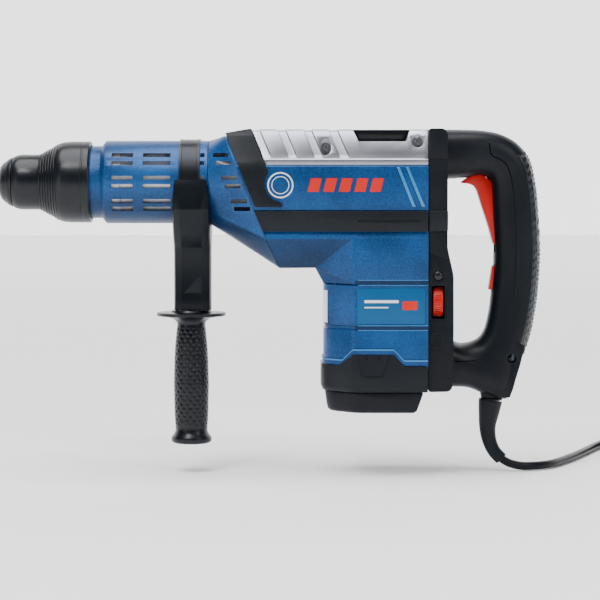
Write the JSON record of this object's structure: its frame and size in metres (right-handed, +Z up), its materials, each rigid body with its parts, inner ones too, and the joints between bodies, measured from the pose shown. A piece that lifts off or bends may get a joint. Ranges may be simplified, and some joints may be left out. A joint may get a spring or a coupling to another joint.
{
  "type": "electric rotary hammer",
  "caption": "Two-handed electric rotary hammer: slotted barrel with sliding tool lock, upright motor, D-handle with lever trigger, swivelling side handle and mains cord.",
  "frame": {"origin": "middle of the rear grip, where the user's hand holds the tool level", "axes": "+X from the tool's nose back towards the handle, along the hammer axis; +Z up; -Y is the left side, which the speed dial is on"},
  "size_m": [0.718, 0.329, 0.3075],
  "materials": {
    "blue_plastic": "moulded, satin metallic blue",
    "black_plastic": "moulded, finely textured black",
    "black_rubber": "soft black rubber",
    "silver_cover": "satin silver",
    "red_plastic": "semi-gloss red",
    "steel": "machined steel",
    "blackened_steel": "blackened steel",
    "aluminium": "cast aluminium",
    "copper": "lacquered copper",
    "carbon": "pressed carbon",
    "circuit_board": "lacquered board",
    "lamp_lens": "smoked grey lens"
  },
  "bodies": {
    "tool": {"front_barrel": "blue_plastic", "inner_tube": "aluminium", "front_bearing": "steel", "front_cone": "blue_plastic", "gear_housing": "blue_plastic", "bumper_guard": "black_rubber", "top_cover": "silver_cover", "cover_screw_1": "steel", "cover_screw_2": "steel", "side_strip_left": "black_plastic", "side_strip_right": "black_plastic", "bearing_plate": "aluminium", "motor_housing": "blue_plastic", "stator": "steel", "upper_motor_bearing": "steel", "lower_motor_bearing": "steel", "carbon_brush_left": "carbon", "carbon_brush_right": "carbon", "base_cover": "black_plastic", "base_cap": "black_rubber", "rear_housing": "black_plastic", "service_lamp": "lamp_lens", "control_board": "circuit_board", "switch_module": "black_plastic", "handle_left": "black_plastic", "handle_right": "black_plastic", "grip_pad": "black_rubber", "cable_gland": "black_rubber", "strain_relief": "black_rubber", "cord_lead": "black_rubber", "cord_coil": "black_rubber", "mains_plug": "black_rubber"},
    "spindle": {"tool_holder": "steel", "hammer_tube": "steel", "crown_gear": "steel", "dust_cap": "black_rubber"},
    "sleeve": {"locking_sleeve": "black_plastic", "sleeve_spring": "steel"},
    "lock_upper": {"locking_body_upper": "steel"},
    "lock_lower": {"locking_body_lower": "steel"},
    "bolt": {"impact_bolt": "steel"},
    "striker": {"striker": "steel"},
    "piston": {"piston": "aluminium", "wrist_pin": "steel"},
    "rod": {"connecting_rod": "aluminium"},
    "crank": {"crank_gear": "steel"},
    "intermediate": {"intermediate_gear": "steel"},
    "armature": {"armature_shaft": "steel", "armature_core": "copper", "commutator": "copper", "cooling_fan": "black_plastic"},
    "selector": {"selector_knob": "black_plastic"},
    "fork": {"shift_fork": "steel"},
    "dial": {"speed_dial": "red_plastic"},
    "trigger": {"trigger": "red_plastic"},
    "lock_button": {"lock_button": "red_plastic"},
    "side_handle": {"clamp_band": "blackened_steel", "side_yoke": "black_plastic", "tie_bolt": "steel"},
    "side_grip": {"side_grip": "black_rubber"}
  },
  "joints": [
    {"name": "armature_spin", "type": "hinge", "parent": "tool", "child": "armature", "pos_m": [-0.124, 0, -0.06], "axis": [0, 0, 1], "continuous": true},
    {"name": "crank_spin", "type": "hinge", "parent": "tool", "child": "crank", "pos_m": [-0.16, 0, 0.02], "axis": [0, 0, 1], "continuous": true},
    {"name": "intermediate_spin", "type": "hinge", "parent": "tool", "child": "intermediate", "pos_m": [-0.21, 0, 0.02], "axis": [0, 0, 1], "continuous": true},
    {"name": "spindle_spin", "type": "hinge", "parent": "tool", "child": "spindle", "pos_m": [-0.364, 0, 0.06], "axis": [1, 0, 0], "continuous": true},
    {"name": "sleeve_slide", "type": "slide", "parent": "spindle", "child": "sleeve", "axis": [1, 0, 0], "range_m": [0, 0.009], "stiffness_N_per_m": 400, "springref_m": -0.02},
    {"name": "lock_upper_slide", "type": "slide", "parent": "spindle", "child": "lock_upper", "axis": [0, 0, 1], "range_m": [0, 0.0025]},
    {"name": "lock_lower_slide", "type": "slide", "parent": "spindle", "child": "lock_lower", "axis": [0, 0, -1], "range_m": [0, 0.0025]},
    {"name": "impact_bolt_slide", "type": "slide", "parent": "tool", "child": "bolt", "axis": [-1, 0, 0], "range_m": [0, 0.004]},
    {"name": "striker_slide", "type": "slide", "parent": "tool", "child": "striker", "axis": [-1, 0, 0], "range_m": [0, 0.005]},
    {"name": "piston_slide", "type": "slide", "parent": "tool", "child": "piston", "axis": [-1, 0, 0], "range_m": [0, 0.032]},
    {"name": "rod_swing", "type": "hinge", "parent": "piston", "child": "rod", "pos_m": [-0.207, 0, 0.06], "axis": [0, 0, 1], "range_deg": [-14, 14]},
    {"name": "selector_turn", "type": "hinge", "parent": "tool", "child": "selector", "pos_m": [-0.1218, 0, 0.1], "axis": [0, 0, 1], "range_deg": [-60, 60]},
    {"name": "fork_slide", "type": "slide", "parent": "tool", "child": "fork", "axis": [1, 0, 0], "range_m": [-0.004, 0.004]},
    {"name": "dial_turn", "type": "hinge", "parent": "tool", "child": "dial", "pos_m": [-0.0724, -0.0336, -0.0456], "axis": [1, 0, 0], "range_deg": [-250, 0]},
    {"name": "trigger_pull", "type": "hinge", "parent": "tool", "child": "trigger", "pos_m": [-0.0194, 0, 0.007], "axis": [0, 1, 0], "range_deg": [0, 9], "stiffness_Nm_per_rad": 0.6, "springref_deg": -22.92},
    {"name": "lock_press", "type": "slide", "parent": "tool", "child": "lock_button", "axis": [1, 0, 0], "range_m": [0, 0.0025], "stiffness_N_per_m": 250, "springref_m": -0.004},
    {"name": "side_handle_swivel", "type": "hinge", "parent": "tool", "child": "side_handle", "pos_m": [-0.2919, 0, 0.06], "axis": [1, 0, 0], "continuous": true},
    {"name": "side_grip_turn", "type": "hinge", "parent": "side_handle", "child": "side_grip", "pos_m": [-0.2919, 0, -0.1], "axis": [0, 0, 1], "continuous": true}
  ],
  "couplings": [
    {"joint": "crank_spin", "follows": "armature_spin", "ratio": -0.2},
    {"joint": "intermediate_spin", "follows": "armature_spin", "ratio": 0.3},
    {"joint": "spindle_spin", "follows": "armature_spin", "ratio": -0.075},
    {"joint": "lock_upper_slide", "follows": "sleeve_slide", "ratio": 0.26667},
    {"joint": "lock_lower_slide", "follows": "sleeve_slide", "ratio": 0.26667},
    {"joint": "fork_slide", "follows": "selector_turn", "m_per_rad": 0.0035}
  ]
}
